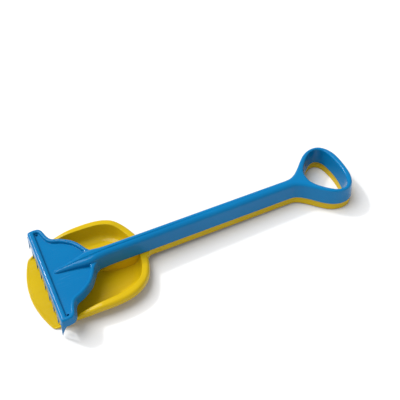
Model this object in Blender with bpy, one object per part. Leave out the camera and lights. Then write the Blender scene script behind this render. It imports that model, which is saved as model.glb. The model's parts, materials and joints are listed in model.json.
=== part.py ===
"""Child's beach sand set: a long handled scoop with a nine tooth rake stacked on it.

Two one-piece mouldings.  Both share one drafted channel handle with a D-shaped grip,
so the rake drops over the scoop and lifts off again.  Each moulding is sawn across its
channel into a working end, a shaft and a grip, so that each node stays simple.
Metres, +Z up, the handle runs along +X from the blade to the grip.
"""
import math

import bmesh
import bpy
import numpy as np

MM = 0.001

# ---------------------------------------------------------------- overall sizes
GRIP_END_X = 497.5          # outer end of the grip, from the front of the rake bar
BAR_HALF = 81.5             # half length of the rake bar at its top
BLADE_HALF = 75.0           # half width of the scoop at its widest
FRONT_EDGE_X = -26.5        # middle of the scoop's front edge
SCOOP_REAR_X = 152.0        # outer rear edge of the scoop's lip

# ---------------------------------------------------------------- moulding rules
WALL = 1.5                  # wall of the channel handle
FIT_GAP = 0.3               # clearance between the two stacked channels
DRAFT = math.radians(8.0)   # draft of every channel wall
STACK = (WALL + FIT_GAP) / math.sin(DRAFT)   # how far the rake sits above the scoop

# ---------------------------------------------------------------- shared handle
SHAFT_HALF = 8.4            # half width of the channel just under its crown
SHAFT_DEPTH = 27.4          # crown to open edge
SHAFT_CROWN_R = 7.2         # crown radius along the shaft
HANDLE_DROP = 0.0238        # fall of the handle per unit of length
GRIP_EDGE_Z = 0.25          # open edge of the scoop's grip above the ground
GRIP_LEN = 103.0            # flare start to grip end
GRIP_HALF = 48.5            # half width of the grip
GRIP_CROWN_R = 2.2          # crown radius of the grip ring
HOLE_LEN = 60.0             # length of the hand hole
HOLE_HALF = 43.5            # half width of the hand hole
GRIP_BAR = 9.5              # width of the cross bar at the grip end

# ---------------------------------------------------------------- rake head
HEAD_TOP = 43.5             # top of the bar and rim
HEAD_DEPTH = 14.5           # outer wall of the head
HEAD_R = 2.8                # top rounding of bar and rim
HEAD_WALL = 1.7
EAR_DEPTH = 21.5            # length of the straight ends
SHOULDER_X = 72.0           # where the shoulders run into the shaft
RECESS_DEPTH = 4.5          # panel below the rim
BAR_TOP_W = 9.0             # front bar width
RIM_TOP_W = 5.2             # rim width behind the panel
TOOTH_COUNT = 9
TOOTH_THICK = 4.2           # at the root
TOOTH_TIP_Z = 3.4
TOOTH_TIP_THICK = 1.8
TOOTH_LINE = 2.3            # outermost tooth in from the end of the bar
WEB_X = 62.0                # where the head's skirt starts down to the shaft's open edge
SOCKET_R = 1.7              # small blind socket in each front corner of the panel
SOCKET_DEPTH = 3.6
SOCKET_WALL = 1.3
RAKE_NOSE_X = 15.0          # blunt tip of the nose on the panel
NECK_SWELL = 0.25           # how much wider the channel is where the head meets it
NECK_SPREAD = 15.0          # how far that swelling reaches along the shaft

# ---------------------------------------------------------------- scoop bowl
FLOOR_T = 2.2               # blade floor
BOWL_WALL = 2.0
FRONT_HALF = 63.5           # half width at the front corners
FRONT_CORNER_X = -10.0
RIM_SIDE_Z = 26.5           # lip crest at the sides
RIM_CLEAR = 0.806           # from the lip beside the shaft up to the rake's channel
LIP_W = 11.0                # rolled lip width at the rear
LIP_SKIRT = 9.5             # lip crest to skirt edge
FLOOR_FILLET = 9.0
SCOOP_NOSE_X = 80.0         # tip of the spine on the floor
SCOOP_NOSE_FULL_X = 118.0   # spine reaches the shaft height
SCOOP_NOSE_END_X = 137.0

# ---------------------------------------------------------------- where the mouldings are sawn
KERF = 0.3                  # gap left by the saw
NECK_CLEAR = 16.0           # from the scoop's rear lip to its neck cut
HEAD_CLEAR = 10.0           # from the end of the rake's shoulders to its neck cut
GRIP_CLEAR = 8.0            # from the grip's flare back to the grip cut

NAME = "beach_scoop_and_rake"


def clear_scene():
    for obj in list(bpy.data.objects):
        bpy.data.objects.remove(obj, do_unlink=True)


def collection(name):
    col = bpy.data.collections.new(name)
    bpy.context.scene.collection.children.link(col)
    return col


def crown_z(x, lift=0.0):
    """Height of the scoop handle's crown at x; the rake's is `lift` higher."""
    end = GRIP_EDGE_Z + SHAFT_DEPTH
    return end + (GRIP_END_X - x) * HANDLE_DROP + lift


def spline(points, steps, closed=True):
    """Centripetal Catmull-Rom through the points."""
    pts = np.array(points, float)
    n = len(pts)
    out = []
    last = n if closed else n - 1
    for i in range(last):
        if closed:
            p0, p1, p2, p3 = pts[i - 1], pts[i], pts[(i + 1) % n], pts[(i + 2) % n]
        else:
            p1, p2 = pts[i], pts[i + 1]
            p0 = pts[i - 1] if i > 0 else 2 * p1 - p2
            p3 = pts[i + 2] if i + 2 < n else 2 * p2 - p1
        k1 = math.sqrt(max(np.linalg.norm(p1 - p0), 1e-9))
        k2 = k1 + math.sqrt(max(np.linalg.norm(p2 - p1), 1e-9))
        k3 = k2 + math.sqrt(max(np.linalg.norm(p3 - p2), 1e-9))
        for t in np.linspace(k1, k2, steps, endpoint=False):
            a1 = (k1 - t) / k1 * p0 + t / k1 * p1
            a2 = (k2 - t) / (k2 - k1) * p1 + (t - k1) / (k2 - k1) * p2
            a3 = (k3 - t) / (k3 - k2) * p2 + (t - k2) / (k3 - k2) * p3
            b1 = (k2 - t) / k2 * a1 + t / k2 * a2
            b2 = (k3 - t) / (k3 - k1) * a2 + (t - k1) / (k3 - k1) * a3
            out.append((k2 - t) / (k2 - k1) * b1 + (t - k1) / (k2 - k1) * b2)
    if not closed:
        out.append(pts[-1])
    return np.array(out)


def mirror_loop(half):
    """Close a half outline (y >= 0, both ends may touch y = 0) about the X axis."""
    half = np.array(half, float)
    other = half[::-1] * [1, -1]
    keep = [p for p in other if abs(p[1]) > 1e-6]
    loop = np.concatenate([half, keep])
    area = np.sum(loop[:, 0] * np.roll(loop[:, 1], -1) - np.roll(loop[:, 0], -1) * loop[:, 1])
    return loop if area > 0 else loop[::-1]


def normals(loop):
    """Outward unit normals of an anticlockwise loop."""
    tan = np.roll(loop, -1, 0) - np.roll(loop, 1, 0)
    tan /= np.linalg.norm(tan, axis=1)[:, None]
    return np.stack([tan[:, 1], -tan[:, 0]], 1)


def solid_from_rings(name, rings, col):
    """Loft a stack of equal-count rings and cap both ends."""
    bm = bmesh.new()
    rows = []
    for ring in rings:
        rows.append([bm.verts.new((p[0] * MM, p[1] * MM, p[2] * MM)) for p in ring])
    n = len(rows[0])
    for a, b in zip(rows, rows[1:]):
        for i in range(n):
            j = (i + 1) % n
            bm.faces.new((a[i], a[j], b[j], b[i]))
    bm.faces.new(rows[0][::-1])
    bm.faces.new(rows[-1])
    bmesh.ops.remove_doubles(bm, verts=bm.verts, dist=1e-6)
    bmesh.ops.recalc_face_normals(bm, faces=bm.faces)
    mesh = bpy.data.meshes.new(name)
    bm.to_mesh(mesh)
    bm.free()
    obj = bpy.data.objects.new(name, mesh)
    col.objects.link(obj)
    return obj


def drafted(name, loop, top, depth, radius, draft, col, grow=0.0, sign=1.0, arc=4, rows=2):
    """Drafted solid under a rounded top edge.

    `top` and `radius` are functions of x, and `depth` a number or one.  `sign` -1 makes
    a hole plug whose walls narrow downward and whose top flares open.
    """
    nrm = normals(loop)
    deep = np.array([depth(p[0]) if callable(depth) else depth for p in loop])
    rad = np.array([radius(p[0]) for p in loop])
    base = np.array([top(p[0]) for p in loop])
    rings = []
    for k in range(arc + 1):
        a = math.pi / 2 * k / arc
        inset = rad * (1 - math.sin(a))
        drop = rad * (1 - math.cos(a))
        xy = loop + nrm * (grow - sign * inset)[:, None] if sign > 0 else loop + nrm * (grow + inset)[:, None]
        rings.append(np.column_stack([xy, base - drop]))
    for k in range(1, rows + 1):
        drop = rad + (deep - rad) * k / rows
        out = (drop - rad) * math.tan(draft) * sign
        xy = loop + nrm * (grow + out)[:, None]
        rings.append(np.column_stack([xy, base - drop]))
    if sign < 0:
        first = rings[0].copy()
        first[:, 2] += 4.0
        rings.insert(0, first)
    return solid_from_rings(name, rings, col)


def channel_section(x, top, bottom, half, radius, arc=5):
    """Cross section of the channel at x as a closed ring in the YZ plane."""
    radius = min(radius, half * 0.92, (top - bottom) * 0.8)
    side = []
    low = half + (top - radius - bottom) * math.tan(DRAFT)
    side.append((low, bottom))
    for k in range(arc + 1):
        a = math.pi / 2 * k / arc
        side.append((half - radius * (1 - math.cos(a)), top - radius * (1 - math.sin(a))))
    ring = side + [(-y, z) for y, z in side[::-1]]
    return np.array([(x, y, z) for y, z in ring])


def boolean(target, tool, kind):
    mod = target.modifiers.new(kind.lower(), "BOOLEAN")
    mod.operation = kind
    mod.solver = "EXACT"
    mod.object = tool
    deps = bpy.context.evaluated_depsgraph_get()
    mesh = bpy.data.meshes.new_from_object(target.evaluated_get(deps))
    target.modifiers.remove(mod)
    old = target.data
    target.data = mesh
    bpy.data.meshes.remove(old)
    return target


def tidy(obj):
    bm = bmesh.new()
    bm.from_mesh(obj.data)
    bmesh.ops.remove_doubles(bm, verts=bm.verts, dist=2e-6)
    bmesh.ops.dissolve_degenerate(bm, dist=2e-6, edges=bm.edges)
    bmesh.ops.triangulate(bm, faces=[f for f in bm.faces if len(f.verts) > 4])
    bmesh.ops.recalc_face_normals(bm, faces=bm.faces)
    bm.to_mesh(obj.data)
    bm.free()


# ---------------------------------------------------------------- shared outlines
def grip_half_outline(start_x):
    """Half outline of shaft and grip, from start_x round to the grip end."""
    x0 = GRIP_END_X - GRIP_LEN
    shape = [(0.09, 0.02), (0.18, 0.12), (0.29, 0.335), (0.40, 0.60), (0.51, 0.83),
             (0.62, 0.965), (0.725, 1.0), (0.825, 0.945), (0.90, 0.80), (0.95, 0.60),
             (0.985, 0.32)]
    span = GRIP_HALF - SHAFT_HALF
    pts = [(x0, SHAFT_HALF)]
    pts += [(x0 + u * GRIP_LEN, SHAFT_HALF + v * span) for u, v in shape]
    ring = pts + [(GRIP_END_X, 0.0)] + [(x, -y) for x, y in pts[::-1]]
    curve = spline(ring, 4, closed=False)
    half = [p for p in curve[: len(curve) // 2 + 1]]
    half[-1] = np.array([GRIP_END_X, 0.0])
    shaft = [(x, SHAFT_HALF) for x in np.linspace(start_x, x0, 14)[:-1]]
    return shaft + [tuple(p) for p in half]


def neck_half(x):
    """Half width of the channel ahead of the grip, swollen where the rake's head meets it."""
    away = (x - (EAR_DEPTH + 0.65 * SHOULDER_X)) / NECK_SPREAD
    return SHAFT_HALF * (1.0 + NECK_SWELL * math.exp(-away * away))


def hole_loop():
    x1 = GRIP_END_X - GRIP_BAR
    x0 = x1 - HOLE_LEN
    shape = [(0.0, 0.0), (0.015, 0.20), (0.085, 0.39), (0.20, 0.585), (0.34, 0.78), (0.48, 0.925),
             (0.61, 0.993), (0.74, 0.985), (0.86, 0.875), (0.935, 0.69), (0.982, 0.38), (1.0, 0.0)]
    half = [(x0 + u * HOLE_LEN, v * HOLE_HALF) for u, v in shape]
    ring = half + [(x, -y) for x, y in half[-2:0:-1]]
    loop = spline(ring, 3)
    area = np.sum(loop[:, 0] * np.roll(loop[:, 1], -1) - np.roll(loop[:, 0], -1) * loop[:, 1])
    return loop if area > 0 else loop[::-1]


def crown_radius(x):
    x0 = GRIP_END_X - GRIP_LEN
    t = min(max((x - x0 + 8.0) / 40.0, 0.0), 1.0)
    t = t * t * (3 - 2 * t)
    return SHAFT_CROWN_R + (GRIP_CROWN_R - SHAFT_CROWN_R) * t


def handle_outer(name, start_x, lift, col):
    loop = mirror_loop(grip_half_outline(start_x))
    body = drafted(name, loop, lambda x: crown_z(x, lift), SHAFT_DEPTH, crown_radius, DRAFT, col)
    plug = drafted(name + "_hole", hole_loop(), lambda x: crown_z(x, lift), SHAFT_DEPTH + 3.0,
                   lambda x: GRIP_CROWN_R, DRAFT, CUT, sign=-1.0)
    return boolean(body, plug, "DIFFERENCE")


def handle_cavity(name, start_x, lift):
    inset = WALL / math.cos(DRAFT)
    rad = lambda x: max(crown_radius(x) - WALL, 0.6)
    loop = mirror_loop(grip_half_outline(start_x))
    loop = loop - normals(loop) * inset
    loop[:, 0] = np.maximum(loop[:, 0], start_x)
    core = drafted(name, loop, lambda x: crown_z(x, lift) - WALL, SHAFT_DEPTH + 2.0, rad, DRAFT, CUT)
    hole = hole_loop()
    post = drafted(name + "_post", hole + normals(hole) * inset, lambda x: crown_z(x, lift) - WALL,
                   SHAFT_DEPTH + 4.0, lambda x: 0.6, DRAFT, CUT, sign=-1.0)
    return boolean(core, post, "DIFFERENCE")


# ---------------------------------------------------------------- rake
def head_half_outline():
    e, b, s = EAR_DEPTH, BAR_HALF, SHOULDER_X
    c = 4.5
    corner = [(0.0, b - c), (0.35, b - 0.5 * c), (1.6, b - 0.12 * c), (c, b)]
    rear = [(0.55 * e, b - 0.1), (0.80 * e, b - 1.4), (0.96 * e, b - 5.0), (1.06 * e, b - 11.0),
            (1.16 * e, b - 18.5), (1.36 * e, b - 25.5), (0.27 * s + e, 0.62 * b),
            (0.37 * s + e, 0.565 * b), (0.47 * s + e, 0.50 * b), (0.55 * s + e, 0.42 * b),
            (0.62 * s + e, 0.32 * b), (0.685 * s + e, 0.215 * b), (0.77 * s + e, 0.135 * b)]
    curve = spline(corner + rear, 3, closed=False)
    front = [(0.0, y) for y in np.linspace(0.0, b - c, 7)[:-1]]
    tail = [(0.84 * s + e, 0.10 * b), (0.84 * s + e, 0.0)]
    return front + [tuple(p) for p in curve] + tail


def head_loop():
    return mirror_loop(head_half_outline())


def offset_loop(loop, dist):
    """Inset a loop, dropping the points where the inset would fold over itself."""
    pts = loop - normals(loop) * dist
    nxt = np.roll(loop, -1, 0) - loop
    size = (nxt * nxt).sum(1)
    keep = []
    for q in pts:
        t = np.clip(((q - loop) * nxt).sum(1) / size, 0.0, 1.0)
        gap = np.linalg.norm(loop + nxt * t[:, None] - q, axis=1).min()
        if gap > 0.985 * dist - 0.01 and (not keep or np.linalg.norm(q - keep[-1]) > 0.3):
            keep.append(q)
    return np.array(keep)


def clip_x(loop, low, high):
    """Cut a loop off square at x = low and x = high."""
    for limit, side in ((low, 1.0), (high, -1.0)):
        out = []
        for p, q in zip(loop, np.roll(loop, -1, 0)):
            a, b = side * (p[0] - limit), side * (q[0] - limit)
            if a >= 0:
                out.append(p)
            if a * b < 0:
                out.append(p + (q - p) * a / (a - b))
        loop = np.array(out)
    keep = [loop[0]]
    for p in loop[1:]:
        if np.linalg.norm(p - keep[-1]) > 0.3:
            keep.append(p)
    if np.linalg.norm(keep[0] - keep[-1]) < 0.3:
        keep.pop()
    return np.array(keep)


def tooth(name, y, col):
    """Pointed tooth: near-vertical front, hollow back, thin across."""
    top = HEAD_TOP - HEAD_DEPTH
    splay = (HEAD_DEPTH - HEAD_R) * math.tan(DRAFT)
    front = -splay
    rows = [(top + 4.0, front + 0.5, 12.0), (top - 0.5, front + 0.15, 10.5), (top - 4.0, front - 0.1, 6.3),
            (top - 9.0, front - 0.4, 3.1), (top - 15.0, front - 0.8, 0.8),
            (TOOTH_TIP_Z + 3.0, front - 1.4, -2.0), (TOOTH_TIP_Z, front - 1.2, -2.4)]
    rings = []
    for z, x0, x1 in rows:
        t = (z - TOOTH_TIP_Z) / (top - TOOTH_TIP_Z)
        h = 0.5 * (TOOTH_TIP_THICK + (TOOTH_THICK - TOOTH_TIP_THICK) * min(max(t, 0.0), 1.0))
        if z == TOOTH_TIP_Z:
            h *= 0.6
        cx, hx = 0.5 * (x0 + x1), 0.5 * (x1 - x0)
        ring = []
        for k in range(12):
            a = 2 * math.pi * k / 12
            ca, sa = math.cos(a), math.sin(a)
            ring.append((cx + hx * math.copysign(abs(ca) ** 0.6, ca),
                         y + h * math.copysign(abs(sa) ** 0.6, sa), z))
        rings.append(np.array(ring))
    return solid_from_rings(name, rings, col)


def skirt_depth(x):
    """The head's skirt deepens into the shaft's wall at the neck."""
    neck = EAR_DEPTH + 0.80 * SHOULDER_X
    edge = crown_z(x, STACK) - SHAFT_DEPTH
    return HEAD_DEPTH + (HEAD_TOP - edge - HEAD_DEPTH) * ease(x, WEB_X, neck)


def pin(name, x, y, low, high, radius, col):
    """Upright round pin."""
    turn = np.linspace(0.0, 2 * math.pi, 20, endpoint=False)
    return solid_from_rings(name, [[(x + radius * math.cos(a), y + radius * math.sin(a), z) for a in turn]
                                   for z in (low, high)], col)


def build_rake():
    lift = STACK
    flat = lambda z: (lambda x: z)
    loop = clip_x(head_loop(), -1.0, 999.0)
    head = drafted("rake_moulding", loop, flat(HEAD_TOP), skirt_depth, lambda x: HEAD_R, DRAFT, COL, rows=2)
    tail = 0.545 * SHOULDER_X + EAR_DEPTH
    recess = clip_x(offset_loop(loop, RIM_TOP_W), BAR_TOP_W, tail + 4.0)
    cut = drafted("recess", recess, flat(HEAD_TOP), RECESS_DEPTH, lambda x: 1.2, math.radians(12), CUT,
                  sign=-1.0, arc=3, rows=1)
    boolean(head, cut, "DIFFERENCE")
    # nose: a blunt half cone from the panel up to the full shaft
    full = 0.79 * SHOULDER_X + EAR_DEPTH - 0.9
    panel = HEAD_TOP - RECESS_DEPTH
    rise = crown_z(full, lift) - 0.12 - panel
    rings = []
    cav = []
    shape = ((0.0, 0.22, 0.105), (0.03, 0.36, 0.21), (0.08, 0.46, 0.30), (0.17, 0.56, 0.375),
             (0.29, 0.67, 0.47), (0.43, 0.82, 0.60), (0.57, 0.94, 0.73), (0.73, 1.0, 0.86), (1.0, 1.0, 1.0))
    for t, w, h in shape:
        x = RAKE_NOSE_X + t * (full - RAKE_NOSE_X)
        z = panel + rise * h
        half = (neck_half(x) - 0.12) * w
        rings.append(channel_section(x, z, panel - 3.0, half, SHAFT_CROWN_R))
        foot = panel - 9.0 if t < 1.0 else crown_z(x, lift) - SHAFT_DEPTH - 2.0
        if w > 0.5:
            cav.append(channel_section(x + 0.5, z - WALL - 0.2, foot, half - WALL, SHAFT_CROWN_R - WALL))
    for k in (0.35, 0.75, 1.2, 1.75):
        x = full + k * NECK_SPREAD
        rings.append(channel_section(x, crown_z(x, lift) - 0.12, crown_z(x, lift) - SHAFT_DEPTH + 0.2,
                                     neck_half(x) - 0.12, SHAFT_CROWN_R))
    cav.append(channel_section(full + 8.0, crown_z(full + 8.0, lift) - 0.32 - WALL, foot,
                               SHAFT_HALF - 0.12 - WALL, SHAFT_CROWN_R - WALL))
    nose = solid_from_rings("nose", rings, CUT)
    shaft = handle_outer("rake_handle", full + 0.6, lift, CUT)
    boolean(head, shaft, "UNION")
    boolean(head, nose, "UNION")
    # underside
    under = clip_x(offset_loop(loop, HEAD_WALL - 0.9), -1.0, 0.79 * SHOULDER_X + EAR_DEPTH)
    low = drafted("under", under, flat(HEAD_TOP - RECESS_DEPTH - HEAD_WALL), HEAD_DEPTH, lambda x: 0.8,
                  DRAFT, CUT, arc=2, rows=1)
    boolean(head, low, "DIFFERENCE")
    groove = clip_x(offset_loop(loop, HEAD_WALL + 0.3), -1.0, tail + 6.0)
    ring_cut = drafted("groove", groove, flat(HEAD_TOP - HEAD_WALL), RECESS_DEPTH + 3.0, lambda x: 0.5,
                       DRAFT, CUT, arc=2, rows=1)
    keep = clip_x(offset_loop(loop, RIM_TOP_W - HEAD_WALL + 0.1), BAR_TOP_W - HEAD_WALL - 0.6, 999.0)
    core = drafted("keep", keep, flat(HEAD_TOP + 1.0), RECESS_DEPTH + 12.0, lambda x: 0.5, 0.0, CUT,
                   arc=2, rows=1)
    boolean(ring_cut, core, "DIFFERENCE")
    boolean(head, ring_cut, "DIFFERENCE")
    boolean(head, solid_from_rings("nose_cav", cav, CUT), "DIFFERENCE")
    boolean(head, handle_cavity("rake_cavity", full + 2.1, lift), "DIFFERENCE")
    # blind sockets in the front corners of the panel
    for side in (1, -1):
        x, y = BAR_TOP_W + 3.2, side * (BAR_HALF - RIM_TOP_W - 3.6)
        bottom = panel - SOCKET_DEPTH
        boss = pin("boss", x, y, bottom - SOCKET_WALL, panel - 0.5 * HEAD_WALL, SOCKET_R + SOCKET_WALL, CUT)
        boolean(head, boss, "UNION")
        boolean(head, pin("socket", x, y, bottom, panel + 8.0, SOCKET_R, CUT), "DIFFERENCE")
    # teeth
    span = BAR_HALF - TOOTH_LINE
    for k in range(TOOTH_COUNT):
        y = -span + 2 * span * k / (TOOTH_COUNT - 1)
        boolean(head, tooth("tooth_cut", y, CUT), "UNION")
    tidy(head)
    return head


# ---------------------------------------------------------------- scoop
def bowl_half_outline():
    """Half outline of the lip's outer edge, from the middle of the front edge to the rear."""
    f, w, r = FRONT_EDGE_X, BLADE_HALF, SCOOP_REAR_X
    c = FRONT_CORNER_X
    front = [(f, 0.0), (f + 0.04 * (c - f), 0.20 * FRONT_HALF), (f + 0.17 * (c - f), 0.42 * FRONT_HALF),
             (f + 0.39 * (c - f), 0.64 * FRONT_HALF), (f + 0.66 * (c - f), 0.84 * FRONT_HALF),
             (f + 0.83 * (c - f), 0.94 * FRONT_HALF), (c, FRONT_HALF), (c + 4.5, 1.03 * FRONT_HALF)]
    rest = [(c + 16.0, 0.905 * w), (0.20 * r, 0.940 * w), (0.36 * r, 0.982 * w), (0.50 * r, w),
            (0.60 * r, 0.992 * w), (0.69 * r, 0.965 * w), (0.775 * r, 0.905 * w), (0.85 * r, 0.805 * w),
            (0.91 * r, 0.665 * w), (0.955 * r, 0.49 * w), (0.985 * r, 0.30 * w), (r, 0.0)]
    return front + rest


def bowl_loop():
    half = bowl_half_outline()
    ring = half + [(x, -y) for x, y in half[-2:0:-1]]
    loop = spline(ring, 3)
    area = np.sum(loop[:, 0] * np.roll(loop[:, 1], -1) - np.roll(loop[:, 0], -1) * loop[:, 1])
    return loop if area > 0 else loop[::-1]


def ease(x, a, b):
    t = min(max((x - a) / (b - a), 0.0), 1.0)
    return t * t * (3 - 2 * t)


def rim_rear_z():
    """Height of the lip crest beside the shaft, under the stacked rake's channel."""
    return crown_z(SCOOP_REAR_X, STACK) - SHAFT_DEPTH - RIM_CLEAR


def build_bowl():
    loop = bowl_loop()
    nrm = normals(loop)
    r = SCOOP_REAR_X
    rows = {k: [] for k in range(17)}
    for p, n in zip(loop, nrm):
        x, y = p
        up = ease(x, FRONT_CORNER_X - 6.0, 0.42 * r)
        crest = RIM_SIDE_Z + (rim_rear_z() - RIM_SIDE_Z) * ease(x, 0.80 * r, 0.97 * r)
        h = 0.8 + (crest - FLOOR_T - 0.8) * (0.35 * ease(x, FRONT_CORNER_X - 2.0, 0.12 * r) + 0.65 * up)
        w = 3.0 + (LIP_W - 3.0) * ease(x, 0.02 * r, 0.55 * r)
        d = min(1.4 + (LIP_SKIRT - 1.4) * ease(x, FRONT_CORNER_X, 0.30 * r), h + FLOOR_T * 0.4)
        t = 0.6 + (BOWL_WALL - 0.6) * ease(x, FRONT_CORNER_X - 4.0, 0.20 * r)
        fil = 2.0 + (FLOOR_FILLET - 2.0) * ease(x, FRONT_CORNER_X - 4.0, 0.30 * r)
        ri = 0.35 * t + 0.45
        ro = min(0.55 * w, 0.75 * d)
        run = max(h - fil, 0.0) * math.tan(math.radians(14))
        floor_in = w + run + fil
        top = FLOOR_T + h
        prof = [(-floor_in, FLOOR_T), (-(floor_in - 0.55 * fil), FLOOR_T + min(0.14 * fil, 0.3 * h)),
                (-(floor_in - 0.86 * fil), FLOOR_T + min(0.48 * fil, 0.6 * h)),
                (-(w + 0.1 * run), top - ri - 0.06 * h),
                (-w + 0.3 * ri, top - 0.3 * ri), (-w + ri, top),
                (-ro, top - 0.02 * ro), (-0.62 * ro, top - 0.08 * ro), (-0.29 * ro, top - 0.29 * ro),
                (-0.08 * ro, top - 0.62 * ro), (0.0, top - ro),
                ((d - ro) * math.tan(DRAFT), top - d), ((d - ro) * math.tan(DRAFT) - t, top - d),
                (-max(ro * 0.55, t), top - max(1.1 * t, 0.2)), (-w + t, top - max(1.1 * t, 0.2)),
                (-(w + run) - 0.35 * fil + t, min(0.45 * fil, 0.5 * FLOOR_T + 0.3 * h)),
                (-(floor_in - 0.25 * fil), 0.0)]
        for k, (o, z) in enumerate(prof):
            rows[k].append((p[0] + n[0] * o, p[1] + n[1] * o, z))
    return solid_from_rings("scoop_moulding", [np.array(rows[k]) for k in range(17)], COL)


def build_scoop():
    bowl = build_bowl()
    full = SCOOP_NOSE_FULL_X
    rings = []
    cav = []
    for t, w in ((0.0, 0.18), (0.14, 0.42), (0.40, 0.72), (0.72, 0.92), (1.0, 1.0)):
        x = SCOOP_NOSE_X + t * (full - SCOOP_NOSE_X)
        z = FLOOR_T + 0.3 + (crown_z(full) - 0.12 - FLOOR_T - 0.3) * t ** 0.92
        half = (SHAFT_HALF - 0.12) * w
        rings.append(channel_section(x, z, 0.7, half, SHAFT_CROWN_R))
        if t > 0.2:
            cav.append(channel_section(x + 2.2, z - WALL - 0.4, -3.0, half - WALL, SHAFT_CROWN_R - WALL))
    rings.append(channel_section(SCOOP_NOSE_END_X, crown_z(SCOOP_NOSE_END_X) - 0.12, 0.7,
                                 SHAFT_HALF - 0.12, SHAFT_CROWN_R))
    cav.append(channel_section(SCOOP_NOSE_END_X - 5.0, crown_z(SCOOP_NOSE_END_X - 5.0) - 0.4 - WALL, -3.0,
                               SHAFT_HALF - 0.12 - WALL, SHAFT_CROWN_R - WALL))
    boolean(bowl, solid_from_rings("scoop_nose", rings, CUT), "UNION")
    # gusset where the lip flares into the shaft
    r = SCOOP_REAR_X
    half = [(r - 9.0, 0.0), (r - 9.0, 22.0), (r - 5.0, 20.0), (r - 1.0, 16.0), (r + 3.0, 12.9),
            (r + 7.0, 11.3), (r + 12.0, 10.6), (r + 12.0, 0.0)]
    gusset = drafted("gusset", mirror_loop(half), lambda x: rim_rear_z() - 0.15, LIP_SKIRT,
                     lambda x: 1.6, DRAFT, CUT, arc=3, rows=1)
    boolean(bowl, gusset, "UNION")
    boolean(bowl, handle_outer("scoop_handle", full + 0.6, 0.0, CUT), "UNION")
    boolean(bowl, handle_cavity("scoop_cavity", full + 3.0, 0.0), "DIFFERENCE")
    boolean(bowl, solid_from_rings("scoop_nose_cav", cav, CUT), "DIFFERENCE")
    tidy(bowl)
    return bowl


def saw(moulding, stations, names):
    """Split a moulding at each x in stations, leaving a kerf, into one object a name."""
    ends = [-500.0] + list(stations) + [1000.0]
    pieces = []
    for name, low, high in zip(names, ends, ends[1:]):
        ring = [(-300.0, -100.0), (300.0, -100.0), (300.0, 200.0), (-300.0, 200.0)]
        block = solid_from_rings("block", [[(x, y, z) for y, z in ring]
                                           for x in (low + 0.5 * KERF, high - 0.5 * KERF)], CUT)
        piece = bpy.data.objects.new(name, moulding.data.copy())
        COL.objects.link(piece)
        boolean(piece, block, "INTERSECT")
        tidy(piece)
        piece.data.name = name
        pieces.append(piece)
    bpy.data.objects.remove(moulding, do_unlink=True)
    return pieces


def material(name, colour):
    mat = bpy.data.materials.new(name)
    mat.use_nodes = True
    bsdf = mat.node_tree.nodes["Principled BSDF"]
    bsdf.inputs["Base Color"].default_value = (*colour, 1.0)
    bsdf.inputs["Roughness"].default_value = 0.22
    return mat


def finish(obj, mat, col, centre_x):
    obj.data.materials.clear()
    obj.data.materials.append(mat)
    for v in obj.data.vertices:
        v.co.x -= centre_x
    for poly in obj.data.polygons:
        poly.use_smooth = True
        poly.material_index = 0
    obj.data.set_sharp_from_angle(angle=math.radians(35))
    if obj.name not in col.objects:
        col.objects.link(obj)


clear_scene()
COL = collection(NAME)
CUT = collection("cutters")
grip_cut = GRIP_END_X - GRIP_LEN - GRIP_CLEAR
scoop = saw(build_scoop(), (SCOOP_REAR_X + NECK_CLEAR, grip_cut), ("scoop_bowl", "scoop_shaft", "scoop_grip"))
rake = saw(build_rake(), (EAR_DEPTH + 0.84 * SHOULDER_X + HEAD_CLEAR, grip_cut),
           ("rake_head", "rake_shaft", "rake_grip"))
for cutter in list(CUT.objects):
    bpy.data.objects.remove(cutter, do_unlink=True)
ends = [v.co.x for piece in scoop + rake for v in piece.data.vertices]
CENTRE_X = 0.5 * (min(ends) + max(ends))
yellow = material("scoop_yellow", (0.85, 0.62, 0.01))
blue = material("rake_blue", (0.0, 0.25, 0.55))
for piece in scoop:
    finish(piece, yellow, COL, CENTRE_X)
for piece in rake:
    finish(piece, blue, COL, CENTRE_X)
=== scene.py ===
"""Finished look of a child's beach set: a long handled scoop with a toothed rake stacked on it.

Each tool is a one-piece moulding.  Both share one drafted channel handle with a
D-shaped grip, so the rake drops over the scoop and lifts off again.  Sizes are in
millimetres, measured from the front face of the rake's bar; meshes are in metres.
"""
import json
import logging
import math
from dataclasses import dataclass, field
from enum import Enum
from typing import Any, Callable, Sequence

import bmesh
import bpy
import numpy as np
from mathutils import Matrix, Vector

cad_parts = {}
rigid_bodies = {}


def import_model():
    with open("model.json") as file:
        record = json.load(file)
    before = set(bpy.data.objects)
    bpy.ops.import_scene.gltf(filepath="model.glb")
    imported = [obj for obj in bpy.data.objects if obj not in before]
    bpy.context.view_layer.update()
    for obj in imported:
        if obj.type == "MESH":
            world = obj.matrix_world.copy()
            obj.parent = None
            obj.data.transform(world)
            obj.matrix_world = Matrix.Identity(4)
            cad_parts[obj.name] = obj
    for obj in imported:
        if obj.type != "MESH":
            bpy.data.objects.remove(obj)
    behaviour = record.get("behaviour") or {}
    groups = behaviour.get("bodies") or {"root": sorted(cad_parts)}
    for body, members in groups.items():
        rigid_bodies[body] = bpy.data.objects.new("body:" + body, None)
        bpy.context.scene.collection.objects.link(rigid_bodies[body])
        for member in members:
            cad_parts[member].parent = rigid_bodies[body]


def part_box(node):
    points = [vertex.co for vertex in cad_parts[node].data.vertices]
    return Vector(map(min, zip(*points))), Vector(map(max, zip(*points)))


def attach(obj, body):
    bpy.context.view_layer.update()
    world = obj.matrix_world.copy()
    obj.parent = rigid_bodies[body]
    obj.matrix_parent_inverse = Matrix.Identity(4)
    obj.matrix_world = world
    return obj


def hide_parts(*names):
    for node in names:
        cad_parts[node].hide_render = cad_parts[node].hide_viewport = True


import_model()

MM = 0.001
WELD = 2e-6                  # metres within which stray points are merged
SHARP = math.radians(32)     # faces that meet at more than this keep a crisp edge
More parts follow.
